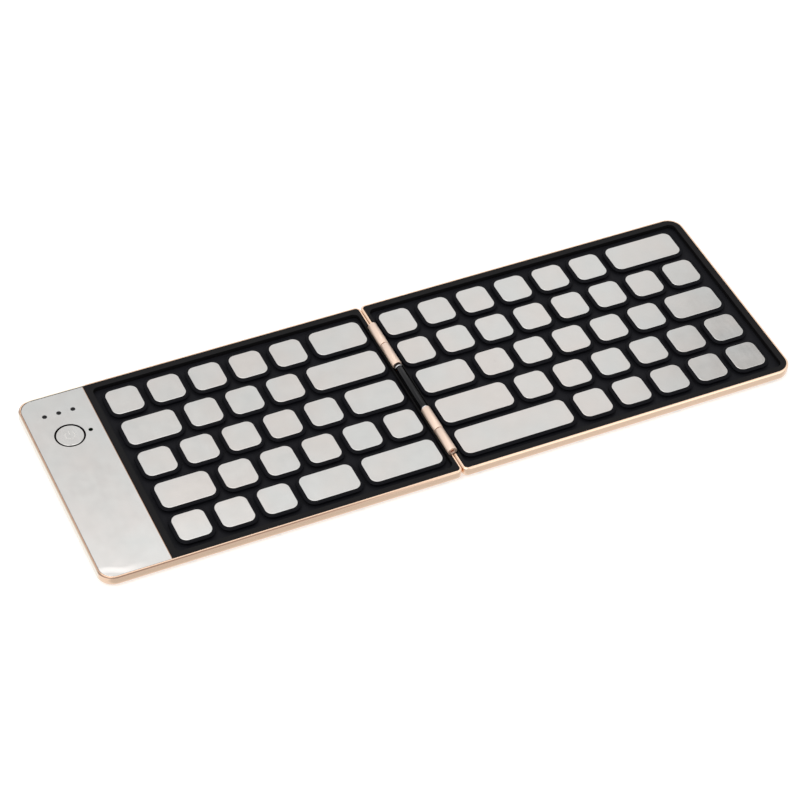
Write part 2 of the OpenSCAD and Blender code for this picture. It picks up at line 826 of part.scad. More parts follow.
module cable_tube() {
  tube_l = 2 * (barrel_inner + tube_seat);
  color("#18181b")
    translate([0, -hinge_forward, z_axis])
      rotate([90, 0, 0])
        difference() {
          cylinder(d = tube_d, h = tube_l, center = true);
          cylinder(d = tube_bore, h = tube_l + 2 * EPS, center = true);
        }
}

module tube_rings() {
  rear_y = barrel_inner - rear_ring_gap - ring_l / 2;
  front_y = front_ring_gap + ring_l / 2 - barrel_inner;
  color("#c9c9cb")
    for (y = [rear_y, front_y])
      translate([0, y - hinge_forward, z_axis])
        rotate([90, 0, 0])
          difference() {
            cylinder(d = ring_d, h = ring_l, center = true);
            cylinder(d = tube_d + run_fit, h = ring_l + 2 * EPS, center = true);
          }
}

// Half of the cable in the tube, from its middle into the barrel on one side
module cable_lead(side) {
  color("#303236")
    translate([0, -hinge_forward, z_axis])
      rotate([side * 90, 0, 0])
        translate([0, 0, EPS]) cylinder(d = cable_d, h = barrel_inner + cable_reach);
}

module left_cable_lead() {
  cable_lead(1);
}

module right_cable_lead() {
  cable_lead(-1);
}

// Black cap of a key: a slab with a sloping skirt and a seat for its plate
module keycap(units) {
  w = plate_w + (units - 1) * pitch_x;
  r = plate_r + cap_reach;
  seat_r = plate_r + run_fit;
  translate([0, 0, z_cap])
    difference() {
      translate([-w / 2 - cap_reach, 0, 0])
        edged_slab(w + 2 * cap_reach, plate_d + 2 * cap_reach, cap_h, r, r, r - plate_r)
          bevelled_edge(r - plate_r, cap_h, skirt_band, skirt_w);
      translate([0, 0, cap_h - plate_seat])
        linear_extrude(cap_h)
          plan(-w / 2 - run_fit, w / 2 + run_fit, plate_d + 2 * run_fit, seat_r, seat_r);
    }
}

// Polished plate of a key, with a bevelled edge
module key_plate(units) {
  w = plate_w + (units - 1) * pitch_x;
  translate([-w / 2, 0, z_key - plate_t])
    edged_slab(w, plate_d, plate_t, plate_r, plate_r, 2 * plate_bevel)
      bevelled_edge(2 * plate_bevel, plate_t, plate_t - plate_bevel, plate_bevel);
}

// Places one part of each key of a row, apart from those that have their own
module row_of(rows, start_x, row, apart, part) {
  for (i = [0 : len(rows[row]) - 1])
    if (!is_one_of([row, i], apart)) place_key(rows, start_x, [row, i], part);
}

module place_key(rows, start_x, key, part) {
  units = rows[key[0]][key[1]];
  translate([start_x + key_mid(rows[key[0]], key[1]), row_y(key[0]), 0]) {
    if (part == "cap") keycap(units);
    if (part == "plate") key_plate(units);
    if (part == "bump")
      translate([0, 0, z_key - EPS]) cylinder(d1 = bump_d, d2 = bump_d / 2, h = bump_h + EPS);
  }
}

module left_caps(row) {
  color("#1a1a1f") row_of(LEFT_ROWS, -left_keys_end, row, [LEFT_SPACE], "cap");
}

module left_plates(row) {
  color("#cfccc8") {
    row_of(LEFT_ROWS, -left_keys_end, row, [LEFT_SPACE], "plate");
    if (row == LEFT_HOME_KEY[0]) place_key(LEFT_ROWS, -left_keys_end, LEFT_HOME_KEY, "bump");
  }
}

module right_caps(row) {
  color("#1a1a1f") row_of(RIGHT_ROWS, key_x, row, [BACKSPACE, ENTER, RIGHT_SPACE], "cap");
}

module right_plates(row) {
  color("#cfccc8") {
    row_of(RIGHT_ROWS, key_x, row, [BACKSPACE, ENTER, RIGHT_SPACE], "plate");
    if (row == RIGHT_HOME_KEY[0]) place_key(RIGHT_ROWS, key_x, RIGHT_HOME_KEY, "bump");
  }
}

module left_space_cap() {
  color("#1a1a1f") place_key(LEFT_ROWS, -left_keys_end, LEFT_SPACE, "cap");
}

module left_space_plate() {
  color("#cfccc8") place_key(LEFT_ROWS, -left_keys_end, LEFT_SPACE, "plate");
}

module right_space_cap() {
  color("#1a1a1f") place_key(RIGHT_ROWS, key_x, RIGHT_SPACE, "cap");
}

module right_space_plate() {
  color("#cfccc8") place_key(RIGHT_ROWS, key_x, RIGHT_SPACE, "plate");
}

module backspace_cap() {
  color("#1a1a1f") place_key(RIGHT_ROWS, key_x, BACKSPACE, "cap");
}

module backspace_plate() {
  color("#cfccc8") place_key(RIGHT_ROWS, key_x, BACKSPACE, "plate");
}

module enter_cap() {
  color("#1a1a1f") place_key(RIGHT_ROWS, key_x, ENTER, "cap");
}

module enter_plate() {
  color("#cfccc8") place_key(RIGHT_ROWS, key_x, ENTER, "plate");
}

left_case();
right_case();
left_deck_frame();
right_deck_frame();
pad_cover();
power_button();
power_button_cap();
status_lenses();
left_dome_mat();
right_dome_mat();
left_switch_sheet();
right_switch_sheet();
left_backing_plate();
right_backing_plate();
controller_board();
power_switch();
charging_socket();
battery();
left_feet();
right_feet();
left_screws();
right_screws();
rear_hinge_left_leaf();
rear_hinge_right_leaf();
front_hinge_left_leaf();
front_hinge_right_leaf();
rear_hinge_pin();
front_hinge_pin();
cable_tube();
tube_rings();
left_cable_lead();
right_cable_lead();
left_caps(0);  // left_number_row_caps
left_plates(0);  // left_number_row_plates
left_caps(1);  // left_upper_row_caps
left_plates(1);  // left_upper_row_plates
left_caps(2);  // left_home_row_caps
left_plates(2);  // left_home_row_plates
left_caps(3);  // left_lower_row_caps
left_plates(3);  // left_lower_row_plates
left_caps(4);  // left_bottom_row_caps
left_plates(4);  // left_bottom_row_plates
left_space_cap();
left_space_plate();
right_caps(0);  // right_number_row_caps
right_plates(0);  // right_number_row_plates
right_caps(1);  // right_upper_row_caps
right_plates(1);  // right_upper_row_plates
right_caps(2);  // right_home_row_caps
right_plates(2);  // right_home_row_plates
right_caps(3);  // right_lower_row_caps
right_plates(3);  // right_lower_row_plates
right_caps(4);  // right_bottom_row_caps
right_plates(4);  // right_bottom_row_plates
right_space_cap();
right_space_plate();
backspace_cap();
backspace_plate();
enter_cap();
enter_plate();
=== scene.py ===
"""Looks of a folding keyboard with metal trays and polished keys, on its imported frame."""

import logging
import math
from collections.abc import Mapping, Sequence
from dataclasses import dataclass, field
from enum import Enum
from typing import Any, ClassVar

import bpy
from mathutils import Euler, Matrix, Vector


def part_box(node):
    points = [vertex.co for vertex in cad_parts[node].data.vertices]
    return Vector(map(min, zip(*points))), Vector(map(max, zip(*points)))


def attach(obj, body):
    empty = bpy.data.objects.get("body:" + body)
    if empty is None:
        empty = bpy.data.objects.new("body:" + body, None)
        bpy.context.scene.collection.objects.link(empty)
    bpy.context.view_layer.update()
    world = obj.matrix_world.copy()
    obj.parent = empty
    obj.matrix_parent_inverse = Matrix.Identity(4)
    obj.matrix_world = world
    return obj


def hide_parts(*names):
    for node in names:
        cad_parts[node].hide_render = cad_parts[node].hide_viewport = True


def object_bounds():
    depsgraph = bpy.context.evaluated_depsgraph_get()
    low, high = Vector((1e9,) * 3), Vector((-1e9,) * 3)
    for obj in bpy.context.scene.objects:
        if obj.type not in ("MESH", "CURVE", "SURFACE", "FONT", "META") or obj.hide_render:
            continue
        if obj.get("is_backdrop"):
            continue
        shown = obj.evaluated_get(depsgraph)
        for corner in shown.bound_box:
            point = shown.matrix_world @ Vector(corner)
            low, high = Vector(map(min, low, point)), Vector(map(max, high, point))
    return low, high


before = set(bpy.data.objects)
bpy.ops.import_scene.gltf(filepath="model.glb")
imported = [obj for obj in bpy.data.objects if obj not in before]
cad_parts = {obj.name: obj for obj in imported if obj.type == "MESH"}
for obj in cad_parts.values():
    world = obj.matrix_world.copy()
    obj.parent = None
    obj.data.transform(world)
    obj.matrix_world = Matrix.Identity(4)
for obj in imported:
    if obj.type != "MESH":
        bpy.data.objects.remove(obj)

LOG = logging.getLogger("folding_keyboard")
MM = 0.001  # a millimetre in metres
WHITE = (1.0, 1.0, 1.0, 1.0)
Colour = tuple[float, float, float]  # linear light
Point = tuple[float, float, float]
Span = tuple[float, float]  # from where to where
Section = Sequence[Span]  # (inset or radius, height) of each ring
Key = tuple[int, int]  # row from the back, and place in the row from the left


# Colours and node arithmetic


def rgb(red: int, green: int, blue: int) -> Colour:
    """Turns a colour as a screen shows it into linear light.

    Args:
        red: red, 0 to 255.
        green: green, 0 to 255.
        blue: blue, 0 to 255.

    Returns:
        The three linear values.
    """
    def linear(level: int) -> float:
        """One level as linear light."""
        share = level / 255
        return share / 12.92 if share <= 0.04045 else ((share + 0.055) / 1.055) ** 2.4

    return linear(red), linear(green), linear(blue)


def scaled(colour: Colour, factor: float) -> Colour:
    """A colour with each part multiplied by a factor."""
    return tuple(part * factor for part in colour)


def spread(value: "Operand", parts: int) -> "Operand":
    """Turns a plain number into a tuple of equal parts, and gives a plain colour its alpha.

    Args:
        value: a wire, a number or a colour.
        parts: 3 for a vector, 4 for a colour.

    Returns:
        What a socket of that many parts takes.
    """
    if isinstance(value, Wire):
        return value
    if isinstance(value, (int, float)):
        return (float(value),) * parts
    return (*value, 1.0)[:parts]


class Wire:
    """A node's output that takes part in arithmetic.

    Each operator adds one node: Math for values, Vector Math for vectors and Mix for colours.
    """

    def __init__(self, graph: "Graph", socket: bpy.types.NodeSocket) -> None:
        """Keeps the socket and the graph that it belongs to."""
        self.graph = graph
        self.socket = socket

    def _combine(self, operation: str, first: "Operand", second: "Operand") -> "Wire":
        """Adds the node that carries out an operation on two operands.

        Args:
            operation: the node's operation, or a colour's blend type.
            first: the first operand.
            second: the second.

        Returns:
            The node's output.
        """
        kinds = {operand.socket.type for operand in (first, second) if isinstance(operand, Wire)}
        if "RGBA" in kinds:
            settings = {"data_type": "RGBA", "blend_type": operation}
            inputs = {0: 1.0, 6: spread(first, 4), 7: spread(second, 4)}
            return self.graph.add("ShaderNodeMix", settings, inputs, output=2)
        if "VECTOR" in kinds:
            inputs = {0: spread(first, 3), 1: spread(second, 3)}
            return self.graph.add("ShaderNodeVectorMath", {"operation": operation}, inputs)
        return self.graph.add("ShaderNodeMath", {"operation": operation}, {0: first, 1: second})

    def __add__(self, other: "Operand") -> "Wire":
        """self + other."""
        return self._combine("ADD", self, other)

    def __radd__(self, other: "Operand") -> "Wire":
        """other + self."""
        return self._combine("ADD", other, self)

    def __sub__(self, other: "Operand") -> "Wire":
        """self - other."""
        return self._combine("SUBTRACT", self, other)

    def __rsub__(self, other: "Operand") -> "Wire":
        """other - self."""
        return self._combine("SUBTRACT", other, self)

    def __mul__(self, other: "Operand") -> "Wire":
        """self * other."""
        return self._combine("MULTIPLY", self, other)

    def __rmul__(self, other: "Operand") -> "Wire":
        """other * self."""
        return self._combine("MULTIPLY", other, self)

    def __gt__(self, other: "Wire | float") -> "Wire":
        """1 where self is above other, and else 0."""
        return self._combine("GREATER_THAN", self, other)

    def __lt__(self, other: "Wire | float") -> "Wire":
        """1 where self is below other, and else 0."""
        return self._combine("LESS_THAN", self, other)

    def clamped(self) -> "Wire":
        """self, held between 0 and 1."""
        return self.graph.add("ShaderNodeClamp", {}, {"Value": self})

    def smooth(self, start: float, end: float) -> "Wire":
        """Rises softly from 0 to 1 with self.

        Args:
            start: the value of self where it is 0.
            end: the value of self where it is 1, above or below start.

        Returns:
            The share.
        """
        settings = {"interpolation_type": "SMOOTHSTEP"}
        inputs = {"Value": self, "From Min": start, "From Max": end}
        return self.graph.add("ShaderNodeMapRange", settings, inputs)

    def part(self, letter: str) -> "Wire":
        """One part of a vector, X, Y or Z."""
        return self.graph.add("ShaderNodeSeparateXYZ", inputs={0: self}, output=letter)


Operand = Wire | float | Colour


class Graph:
    """The nodes of one material or world."""

    def __init__(self, tree: bpy.types.NodeTree) -> None:
        """Empties the tree.

        Args:
            tree: the node tree to fill.
        """
        self.tree = tree
        tree.nodes.clear()

    def add(
        self,
        kind: str,
        settings: Mapping[str, Any] | None = None,
        inputs: Mapping[str | int, Any] | None = None,
        output: str | int = 0,
    ) -> Wire:
        """Adds one node, sets it up and links it.

        Args:
            kind: the node's type, such as ShaderNodeTexNoise.
            settings: its properties, and stops for a ramp's (place, colour) pairs.
            inputs: a value or wire for each socket, by name or number.
            output: the output to return.

        Returns:
            The chosen output, or the node's first input where it has no output.
        """
        node = self.tree.nodes.new(kind)
        for name, value in (settings or {}).items():
            if name == "stops":
                self._set_stops(node, value)
            else:
                setattr(node, name, value)
        for name, value in (inputs or {}).items():
            socket = node.inputs[name]
            if isinstance(value, Wire):
                self.tree.links.new(value.socket, socket)
            else:
                socket.default_value = value
        return Wire(self, node.outputs[output] if node.outputs else node.inputs[0])

    @staticmethod
    def _set_stops(node: bpy.types.Node, stops: Sequence[tuple[float, Colour]]) -> None:
        """Gives a colour ramp its stops.

        Args:
            node: the ramp.
            stops: the place and colour of each.
        """
        elements = node.color_ramp.elements
        while len(elements) < len(stops):
            elements.new(0.5)
        for element, (place, colour) in zip(elements, stops):
            element.position = place
            element.color = (*colour, 1.0)

    def place(self) -> Wire:
        """The point being shaded, in the object's own coordinates, in metres."""
        return self.add("ShaderNodeTexCoord", output="Object")

    def share(self) -> Wire:
        """The point being shaded, as shares of the object's own box, or a world's direction."""
        return self.add("ShaderNodeTexCoord", output="Generated")

    def seen(self) -> Wire:
        """1 for what the camera sees directly, and else 0."""
        return self.add("ShaderNodeLightPath", output="Is Camera Ray")

    def mirrored(self) -> Wire:
        """Tells what reflections and clear pieces see from the rest.

        Returns:
            1 for their rays and else 0.
        """
        glossy = self.add("ShaderNodeLightPath", output="Is Glossy Ray")
        through = self.add("ShaderNodeLightPath", output="Is Transmission Ray")
        return (glossy + through).clamped()

    def noise(
        self, vector: Wire, scale: float, detail: float = 2.0, roughness: float = 0.5
    ) -> Wire:
        """Soft noise between 0 and 1.

        Args:
            vector: where it is read.
            scale: features per metre.
            detail: octaves of finer noise.
            roughness: strength of the finer noise.

        Returns:
            The noise value.
        """
        values = {"Vector": vector, "Scale": scale, "Detail": detail, "Roughness": roughness}
        return self.add("ShaderNodeTexNoise", inputs=values)

    def ramp(self, value: Wire, stops: Sequence[tuple[float, Colour]]) -> Wire:
        """The colour that a value has between stops, each a place and its colour."""
        return self.add("ShaderNodeValToRGB", {"stops": stops}, {0: value})

    def mix(self, share: Wire, first: Wire | Colour, second: Wire | Colour) -> Wire:
        """A colour between two others.

        Args:
            share: 0 for the first, 1 for the second.
            first: one colour.
            second: the other.

        Returns:
            The mixed colour.
        """
        inputs = {0: share, 6: spread(first, 4), 7: spread(second, 4)}
        return self.add("ShaderNodeMix", {"data_type": "RGBA"}, inputs, output=2)

    def bump(self, height: Wire, distance: float, normal: Wire | None = None) -> Wire:
        """A normal that follows a height, from 0 to 1 of a distance in metres.

        Args:
            height: the height.
            distance: what a height of 1 stands for.
            normal: a normal that this one is added to.

        Returns:
            The normal.
        """
        inputs: dict[str, Any] = {"Height": height, "Distance": distance}
        if normal:
            inputs["Normal"] = normal
        return self.add("ShaderNodeBump", inputs=inputs)


# Finishes


@dataclass(frozen=True)
class Finish:
    """A surface finish: its name, its plain values and how they vary over the surface.

    Attributes:
        name: the material's name.
        colour: its colour in linear light.
        roughness: its average roughness.
        metallic, specular: the shader's values of that name.
        coat, coat_roughness: weight and roughness of the clear coat.
        clouds: patches of colour per metre.
        depth: share by which the patches are lighter or darker.
        swing: difference between the roughest and the smoothest place.
    """

    name: str
    colour: Colour
    roughness: float
    metallic: float = 0.0
    specular: float = 0.5
    coat: float = 0.0
    coat_roughness: float = 0.1
    clouds: float = 220.0
    depth: float = 0.06
    swing: float = 0.1

    def make(self) -> bpy.types.Material:
        """Makes the material once.

        Returns:
            The new material, or the one made before.
        """
        if self.name in bpy.data.materials:
            return bpy.data.materials[self.name]
        material = bpy.data.materials.new(self.name)
        material.use_nodes = True
        graph = Graph(material.node_tree)
        shader = graph.add("ShaderNodeBsdfPrincipled", {}, self._plain_values())
        for socket, wire in self.varied(graph).items():
            graph.tree.links.new(wire.socket, shader.socket.node.inputs[socket])
        graph.add("ShaderNodeOutputMaterial", {}, {"Surface": shader})
        return material

    def _plain_values(self) -> dict[str, Any]:
        """The values that are the same all over.

        Returns:
            A value for each socket.
        """
        return {
            "Base Color": (*self.colour, 1.0),
            "Roughness": self.roughness,
            "Metallic": self.metallic,
            "Specular IOR Level": self.specular,
            "Coat Weight": self.coat,
            "Coat Roughness": self.coat_roughness,
        }

    def varied(self, graph: Graph) -> dict[str, Wire]:
        """What changes over the surface, by socket: here a faint mottle of colour and roughness.

        Args:
            graph: the material's nodes.

        Returns:
            A wire for each socket that varies.
        """
        mottle = graph.noise(graph.place(), self.clouds, detail=3.0)
        return {"Base Color": self.clouded(graph, mottle), "Roughness": self.uneven(mottle)}

    def clouded(self, graph: Graph, mask: Wire) -> Wire:
        """The finish's colour, darker by its depth where a mask is 0 and lighter where it is 1."""
        dark, light = scaled(self.colour, 1 - self.depth), scaled(self.colour, 1 + self.depth)
        return graph.mix(mask, dark, light)

    def uneven(self, mask: Wire) -> Wire:
        """The finish's roughness, lower by half its swing where a mask is 0 and higher at 1."""
        return (mask - 0.5) * self.swing + self.roughness


@dataclass(frozen=True)
class AnodisedMetal(Finish):
    """Satin anodised metal with a fine bead-blasted grain.

    Attributes:
        grain, grain_height: grains per metre, and their height in metres.
    """

    clouds: float = 24.0
    depth: float = 0.04
    swing: float = 0.12
    grain: float = 9000.0
    grain_height: float = 0.000004

    def varied(self, graph: Graph) -> dict[str, Wire]:
        """Adds the grain, and soft clouds of colour along the metal.

        Args:
            graph: the material's nodes.

        Returns:
            A wire for each socket that varies.
        """
        place = graph.place()
        grain = graph.noise(place, self.grain, roughness=0.6)
        return {
            "Base Color": self.clouded(graph, graph.noise(place, self.clouds)),
            "Roughness": self.uneven(grain),
            "Normal": graph.bump(grain, self.grain_height),
        }


@dataclass(frozen=True)
class TrayMetal(AnodisedMetal):
    """The trays' metal, with a painted dark copper reflection on the rim's bevel towards the left,
    a painted shade line along the pad, and a painted cream highlight outside the pad.

    Attributes:
        deep, pale: the dark copper of the painted reflection and shade, and the cream of the
            painted highlight.
        bevel_shade_share, line_share: how much of the painted copper shade the bevel and the line
            along the pad take.
        bevel: heights of the bevel, in metres as all places here.
        soft, line_soft: distances over which the bevel's colour fades, and the line's.
        reach: from where to where the painted reflection on the bevel comes in along the keyboard.
        left_wall, back_wall, pad_line, pad_side: from where to where each of them begins.
    """

    painted_shade: Colour = (0.2, 0.09, 0.05)
    bevel_shade_share: float = 0.8
    line_share: float = 0.4
    bevel: Span = (0.0053, 0.00569)
    soft: float = 0.00003
    line_soft: float = 0.00009
    reach: Span = (0.02, -0.07)
    pale: Colour = rgb(247, 236, 219)
    left_wall: Span = (-0.1482, -0.1486)
    pad_line: Span = (-0.1474, -0.1477)
    back_wall: Span = (0.0488, 0.0494)
    pad_side: Span = (-0.1185, -0.1205)

    def varied(self, graph: Graph) -> dict[str, Wire]:
        """Adds a painted dark copper reflection on the bevel, a painted shade line along the pad,
        and a painted cream highlight outside the pad.

        Args:
            graph: the material's nodes.

        Returns:
            A wire for each socket that varies.
        """
        varied = super().varied(graph)
        place = graph.place()
        x, y, z = (place.part(letter) for letter in "XYZ")
        (low, high), soft = self.bevel, self.soft
        # painted dark reflection: the rim's bevel turns copper, coming in towards the left
        bevel = z.smooth(low - soft, low + soft) * z.smooth(high + soft, high - soft)
        band = bevel * (x.smooth(*self.reach) * self.bevel_shade_share)
        # painted shade: a dark copper line on the rim's top along the pad
        line = x.smooth(*self.pad_line) * z.smooth(high - self.line_soft, high) * self.line_share
        # painted highlight: cream on the left wall, and on the back wall behind the pad
        outside = x.smooth(*self.left_wall) + y.smooth(*self.back_wall) * x.smooth(*self.pad_side)
        # the painted shade goes into the metal's colour first, then the painted highlight over it
        copper = graph.mix((band + line).clamped(), varied["Base Color"], self.painted_shade)
        varied["Base Color"] = graph.mix(outside.clamped(), copper, self.pale)
        return varied


@dataclass(frozen=True, kw_only=True)
class PolishedPlate(Finish):
    """Polished plate whose tint drifts between warm and cool, as thin lacquer on metal does.

    Attributes:
        warm, cool: the two tints.
        drift, drift_span: changes of tint per metre, and where it is all cool and all warm.
        rubs, rub_swing: rubbing marks per metre along each axis, and how rough they are.
        smoother: what the roughness is lowered by, so that marks and clouds keep its average.
        ripple: height in metres of the slow ripple in the surface.
    """

    clouds: float = 150.0
    depth: float = 0.05
    swing: float = 0.05
    warm: Colour
    cool: Colour
    drift: float = 46.0
    drift_span: Span = (1 / 3, 2 / 3)
    rubs: Point = (600.0, 90.0, 90.0)
    rub_swing: float = 0.08
    smoother: float = 0.06
    ripple: float = 0.000012

    def varied(self, graph: Graph) -> dict[str, Wire]:
        """Adds the drift of tint, faint rubbing marks and a slow ripple in the surface.

        Args:
            graph: the material's nodes.

        Returns:
            A wire for each socket that varies.
        """
        place = graph.place()
        drift = graph.noise(place, self.drift)
        cloud = graph.noise(place, self.clouds, detail=3.0, roughness=0.6)
        rubs = graph.noise(place * self.rubs, 1.0, detail=3.0, roughness=0.7)
        tint = graph.ramp(drift, tuple(zip(self.drift_span, (self.cool, self.warm))))
        worn = rubs * self.rub_swing + cloud * self.swing
        return {
            "Base Color": tint * ((cloud - 0.5) * (2 * self.depth) + 1.0),
            "Roughness": worn + (self.roughness - self.smoother),
            "Normal": graph.bump(drift, self.ripple),
        }


@dataclass(frozen=True, kw_only=True)
class RolledPlate(PolishedPlate):
    """A polished plate with a rolled front edge and a copper cut edge on its right.

    The pairs are shares of the plate's own box, where a change begins and ends.

    Attributes:
        cut, cut_side: the copper of the cut edge, and where it begins.
        roll: depth of the roll in metres.
        roll_reach, roll_side: where it begins from the front, and towards the left corner.
        slant, slant_side: how much wider it gets towards that corner, and where.
    """

    cut: Colour = rgb(176, 140, 116)
    cut_side: Span = (0.98, 0.994)
    roll: float = 0.000055
    roll_reach: Span = (-0.005, 0.035)
    roll_side: Span = (0.75, 0.25)
    slant_side: Span = (0.38, 0.04)
    slant: float = 0.03

    def varied(self, graph: Graph) -> dict[str, Wire]:
        """Adds the rolled edge to the plate's ripple, and the cut edge to its colour.

        Args:
            graph: the material's nodes.

        Returns:
            A wire for each socket that varies.
        """
        varied = super().varied(graph)
        share = graph.share()
        across, inward = share.part("X"), share.part("Y")
        edge = (inward - across.smooth(*self.slant_side) * self.slant).smooth(*self.roll_reach)
        rolled = edge * across.smooth(*self.roll_side)
        cut = across.smooth(*self.cut_side)
        varied["Base Color"] = graph.mix(cut, varied["Base Color"], self.cut)
        varied["Normal"] = graph.bump(rolled, self.roll, varied["Normal"])
        return varied


@dataclass(frozen=True)
class MouldedPlastic(Finish):
    """Moulded plastic with a fine spark-eroded texture.

    Attributes:
        grain, grain_height: grains per metre, and their height in metres.
    """

    clouds: float = 60.0
    depth: float = 0.08
    grain: float = 5200.0
    grain_height: float = 0.000006

    def varied(self, graph: Graph) -> dict[str, Wire]:
        """Adds the texture and a faint unevenness of sheen.

        Args:
            graph: the material's nodes.

        Returns:
            A wire for each socket that varies.
        """
        place = graph.place()
        sheen = graph.noise(place, self.clouds)
        grain = graph.noise(place, self.grain, roughness=0.55)
        return {
            "Base Color": self.clouded(graph, sheen),
            "Roughness": self.uneven(sheen),
            "Normal": graph.bump(grain, self.grain_height),
        }


@dataclass(frozen=True)
class PrintedBoard(Finish):
    """Circuit board or switch film: lacquer over fine printed lines.

    Attributes:
        line, line_share, line_sheen: the lines' colour, how much of it shows, and their gloss.
        pitch: lines per metre.
        wave_level, break_level: heights of waves and noise above which there is a line.
    """

    line: Colour = (0.3, 0.2, 0.08)
    line_share: float = 0.5
    pitch: float = 900.0
    wave_level: float = 0.82
    break_level: float = 0.52
    line_sheen: float = 0.1

    def varied(self, graph: Graph) -> dict[str, Wire]:
        """Adds lines where waves and a coarser noise both run high.

        Args:
            graph: the material's nodes.

        Returns:
            A wire for each socket that varies.
        """
        place = graph.place()
        settings, inputs = {"bands_direction": "Y"}, {"Vector": place, "Scale": self.pitch}
        waves = graph.add("ShaderNodeTexWave", settings, inputs, output=1)
        breaks = graph.noise(place, self.pitch / 3, detail=1.0)
        lines = (waves > self.wave_level) * (breaks > self.break_level)
        return {
            "Base Color": graph.mix(lines * self.line_share, self.colour, self.line),
            "Roughness": self.roughness - lines * self.line_sheen,
        }


class Tone(Enum):
    """The keyboard's finishes."""

    TRAY = TrayMetal(
        "rose_gold_anodised", (0.91, 0.65, 0.47), 0.26, metallic=1.0, coat=1.0, coat_roughness=0.2,
    )
    HINGE = AnodisedMetal(
        "rose_gold_barrel", (0.88, 0.675, 0.545), 0.45, metallic=0.7, coat=1.0, coat_roughness=0.2,
    )
    KEY_PLATE = PolishedPlate(
        "polished_key_plate", rgb(202, 199, 196), 0.12, metallic=1.0,
        warm=rgb(205, 200, 196), cool=rgb(201, 201, 199),
    )
    PAD = RolledPlate(
        "polished_pad", rgb(202, 200, 197), 0.12, metallic=1.0,
        warm=rgb(203, 199, 196), cool=rgb(201, 201, 199),
    )
    KEY_CAP = MouldedPlastic(
        "black_key_cap", rgb(12, 12, 17), 0.3, specular=0.06, grain_height=0.000002,
    )
    FRAME = MouldedPlastic("black_border", rgb(21, 20, 21), 0.42, specular=0.09)
    MAT = MouldedPlastic("black_dome_mat", rgb(24, 24, 28), 0.6, specular=0.1)
    TUBE = MouldedPlastic(
        "black_tube", rgb(9, 9, 12), 0.12, specular=0.28, grain_height=0.000001,
    )
    RING = AnodisedMetal("bright_ring", rgb(214, 214, 216), 0.12, metallic=1.0)
    PIN = AnodisedMetal("copper_pin", rgb(150, 84, 56), 0.4, metallic=1.0)
    SCREW = AnodisedMetal("plated_screw", rgb(168, 158, 146), 0.3, metallic=1.0)
    STEEL = AnodisedMetal("rolled_steel", rgb(176, 177, 180), 0.3, metallic=1.0)
    FOIL = AnodisedMetal("cell_foil", rgb(186, 188, 192), 0.35, metallic=0.9)
    RUBBER = MouldedPlastic(
        "foot_rubber", rgb(38, 38, 40), 0.75, specular=0.2, grain_height=0.00002,
    )
    LENS = Finish("smoked_lens", rgb(14, 14, 16), 0.2, specular=0.2)
    BUTTON = MouldedPlastic("black_button_body", rgb(10, 10, 11), 0.4, specular=0.05)
    MARK = Finish("pale_mark", rgb(222, 219, 215), 0.5)
    FILM = PrintedBoard("switch_film", rgb(60, 92, 70), 0.4, line=rgb(150, 150, 150))
    BOARD = PrintedBoard("solder_mask", rgb(24, 84, 48), 0.35)

    @property
    def material(self) -> bpy.types.Material:
        """The finish's material."""
        return self.value.make()


# Shapes


def at(x: float, y: float, z: float) -> Vector:
    """A point given in millimetres."""
    return Vector((x, y, z)) * MM


def round_from(centre: Point, radius: float, turn: float, up: float = 0.0) -> Vector:
    """The point at a radius and a turn about an upright axis, up over its centre in millimetres."""
    x, y, z = centre
    return at(x + radius * math.cos(turn), y + radius * math.sin(turn), z + up)


def quarter(width: float, low: float, high: float, steps: int) -> Section:
    """A quarter of an ellipse in a section, from its foot outside to its top inside.

    Args:
        width: how far the curve leans in.
        low: height of its foot.
        high: height of its top.
        steps: the number of pieces.

    Returns:
        (inset, height) of each point.
    """
    turns = [math.radians(90 * step / steps) for step in range(steps + 1)]
    return [(width * (1 - math.cos(turn)), low + (high - low) * math.sin(turn)) for turn in turns]


@dataclass(frozen=True)
class Outline:
    """A rounded rectangle in plan, in millimetres.

    Attributes:
        x0, x1: its left and right sides.
        y0, y1: its front and back.
        radius, steps: its corners' radius, and the pieces in each.
    """

    x0: float
    x1: float
    y0: float
    y1: float
    radius: float
    steps: int = 10
    LEAST_RADIUS: ClassVar[float] = 0.02

    @property
    def middle(self) -> tuple[float, float]:
        """The x and y of its middle."""
        return (self.x0 + self.x1) / 2, (self.y0 + self.y1) / 2

    def ring(self, inset: float, z: float) -> list[Vector]:
        """Points round the outline, counter-clockwise from above.

        Args:
            inset: distance that the ring is drawn in.
            z: its height.

        Returns:
            The points, in metres.
        """
        radius = max(self.radius - inset, self.LEAST_RADIUS)
        points = []
        for x, y, to_x, to_y, start in (
            (self.x1, self.y1, -1, -1, 0),
            (self.x0, self.y1, 1, -1, 90),
            (self.x0, self.y0, 1, 1, 180),
            (self.x1, self.y0, -1, 1, 270),
        ):
            centre = (x + to_x * (inset + radius), y + to_y * (inset + radius), z)
            for step in range(self.steps + 1):
                turn = math.radians(start + 90 * step / self.steps)
                points.append(round_from(centre, radius, turn))
        return points


